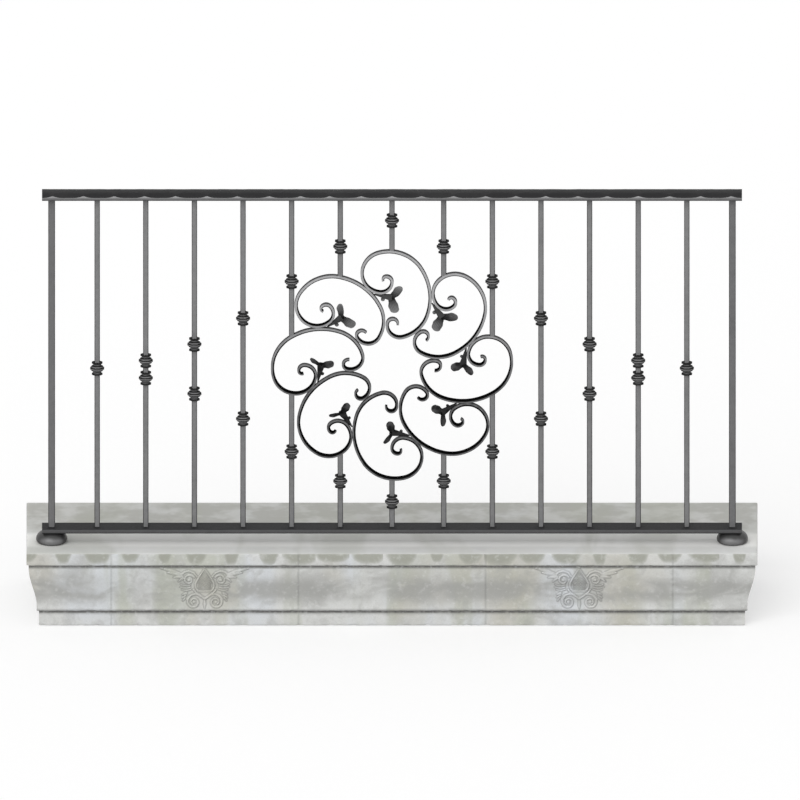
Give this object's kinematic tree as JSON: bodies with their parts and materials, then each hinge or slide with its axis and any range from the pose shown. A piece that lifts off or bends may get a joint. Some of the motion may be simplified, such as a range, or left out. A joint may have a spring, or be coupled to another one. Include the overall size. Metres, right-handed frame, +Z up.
{
  "type": "wrought iron railing",
  "caption": "Iron railing with square bars, turned collars and a wreath of scrolls with leaves, standing on a moulded stone ledge.",
  "frame": {"origin": "middle of the ledge's underside", "axes": "+X along the railing, -Y is the front that faces the viewer, +Z up"},
  "size_m": [2.12, 0.48, 1.3],
  "materials": {
    "iron": "dark graphite grey, hand forged, satin",
    "stone": "pale weathered sandstone"
  },
  "bodies": {
    "root": {"baluster_01": "iron", "baluster_02": "iron", "baluster_03": "iron", "baluster_04": "iron", "baluster_05": "iron", "baluster_06": "iron", "baluster_07": "iron", "baluster_08": "iron", "baluster_09": "iron", "baluster_10": "iron", "baluster_11": "iron", "baluster_12": "iron", "baluster_13": "iron", "bottom_rail": "iron", "coping_slab_1": "stone", "coping_slab_2": "stone", "coping_slab_3": "stone", "coping_slab_4": "stone", "coping_slab_5": "stone", "cornice_block_1": "stone", "cornice_block_2": "stone", "cornice_block_3": "stone", "cornice_block_4": "stone", "cornice_block_5": "stone", "end_post_left": "iron", "end_post_right": "iron", "foot_left": "iron", "foot_right": "iron", "handrail": "iron", "leaf_1": "iron", "leaf_2": "iron", "leaf_3": "iron", "leaf_4": "iron", "leaf_5": "iron", "leaf_6": "iron", "leaf_7": "iron", "leaf_8": "iron", "lower_collars": "iron", "scroll_1": "iron", "scroll_2": "iron", "scroll_3": "iron", "scroll_4": "iron", "scroll_5": "iron", "scroll_6": "iron", "scroll_7": "iron", "scroll_8": "iron", "upper_collars": "iron"}
  },
  "joints": []
}
